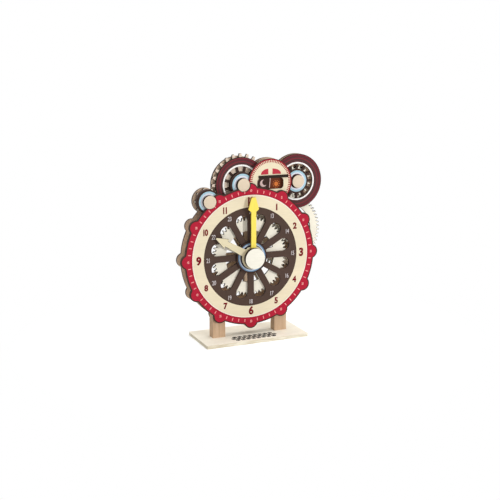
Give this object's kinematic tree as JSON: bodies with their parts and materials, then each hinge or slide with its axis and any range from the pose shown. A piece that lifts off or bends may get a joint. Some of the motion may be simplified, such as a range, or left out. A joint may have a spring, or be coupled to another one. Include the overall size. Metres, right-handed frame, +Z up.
{
  "type": "teaching clock",
  "caption": "Wooden teaching clock on a stand, with a round bumped dial, two hands, and open plywood gears turned by knobs.",
  "frame": {"origin": "centre of the underside of the base board", "axes": "+Z up, +Y to the back, +X to the right as the dial is read"},
  "size_m": [0.233, 0.08, 0.2798],
  "materials": {
    "base_ply": "satin",
    "leg_beech": "satin",
    "dial_face": "satin",
    "back_ply": "satin",
    "spacer_wood": "satin",
    "hub_dark": "satin",
    "window_ply": "satin",
    "visor_dark": "satin",
    "dowel_wood": "satin",
    "cap_wood": "satin",
    "screw_steel": "satin",
    "gear_ply": "satin",
    "wheel_face": "satin",
    "picture_face": "satin",
    "minute_yellow": "satin",
    "hour_natural": "satin",
    "big_knob_wood": "satin",
    "small_knob_wood": "satin"
  },
  "bodies": {
    "root": {"base_board": "base_ply", "left_leg": "leg_beech", "right_leg": "leg_beech", "front_plate": "dial_face", "back_plate": "back_ply", "plate_spacers": "spacer_wood", "hub_disc": "hub_dark", "window_plate": "window_ply", "visor_strip": "visor_dark", "picture_pin": "dowel_wood", "picture_cap": "cap_wood", "base_screws": "screw_steel"},
    "minute": {"minute_arbor": "dowel_wood", "minute_pinion": "gear_ply", "minute_spacer": "spacer_wood", "minute_hand": "minute_yellow", "minute_knob": "big_knob_wood"},
    "hour": {"hour_tube": "dowel_wood", "hour_wheel": "gear_ply", "hour_hand": "hour_natural"},
    "intermediate": {"intermediate_arbor": "dowel_wood", "intermediate_wheel": "gear_ply", "intermediate_pinion": "gear_ply", "intermediate_spacer": "spacer_wood"},
    "right_wheel": {"right_wheel_disc": "wheel_face", "right_wheel_pinion": "gear_ply", "right_wheel_axle": "dowel_wood", "right_wheel_knob": "small_knob_wood", "right_wheel_cap": "cap_wood"},
    "left_wheel": {"left_wheel_hub": "hub_dark", "left_hub_gear": "gear_ply", "left_wheel_disc": "wheel_face", "left_coarse_gear": "gear_ply", "left_wheel_axle": "dowel_wood", "left_wheel_knob": "small_knob_wood", "left_wheel_cap": "cap_wood"},
    "small_wheel": {"small_wheel_disc": "hub_dark", "small_wheel_backer": "hub_dark", "small_wheel_pinion": "gear_ply", "small_wheel_axle": "dowel_wood", "small_wheel_knob": "small_knob_wood", "small_wheel_cap": "cap_wood"},
    "picture": {"picture_disc": "picture_face"}
  },
  "joints": [
    {"name": "minute_turn", "type": "hinge", "parent": "root", "child": "minute", "pos_m": [0, 0, 0.126], "axis": [0, 1, 0], "continuous": true},
    {"name": "hour_turn", "type": "hinge", "parent": "root", "child": "hour", "pos_m": [0, 0, 0.126], "axis": [0, 1, 0], "continuous": true},
    {"name": "intermediate_turn", "type": "hinge", "parent": "root", "child": "intermediate", "pos_m": [0.06468, 0, 0.15942], "axis": [0, 1, 0], "continuous": true},
    {"name": "right_wheel_turn", "type": "hinge", "parent": "root", "child": "right_wheel", "pos_m": [0.0805, 0, 0.2342], "axis": [0, 1, 0], "continuous": true},
    {"name": "left_wheel_turn", "type": "hinge", "parent": "root", "child": "left_wheel", "pos_m": [-0.0112, 0, 0.2345], "axis": [0, 1, 0], "continuous": true},
    {"name": "small_wheel_turn", "type": "hinge", "parent": "root", "child": "small_wheel", "pos_m": [-0.0653, 0, 0.2126], "axis": [0, 1, 0], "continuous": true},
    {"name": "picture_turn", "type": "hinge", "parent": "root", "child": "picture", "pos_m": [0.0331, 0, 0.2193], "axis": [0, 1, 0], "continuous": true}
  ],
  "couplings": [
    {"joint": "intermediate_turn", "follows": "minute_turn", "ratio": -0.33333},
    {"joint": "hour_turn", "follows": "minute_turn", "ratio": 0.083333},
    {"joint": "right_wheel_turn", "follows": "minute_turn", "ratio": 0.83333},
    {"joint": "small_wheel_turn", "follows": "left_wheel_turn", "ratio": -2.6667},
    {"joint": "picture_turn", "follows": "left_wheel_turn", "ratio": -0.45}
  ]
}
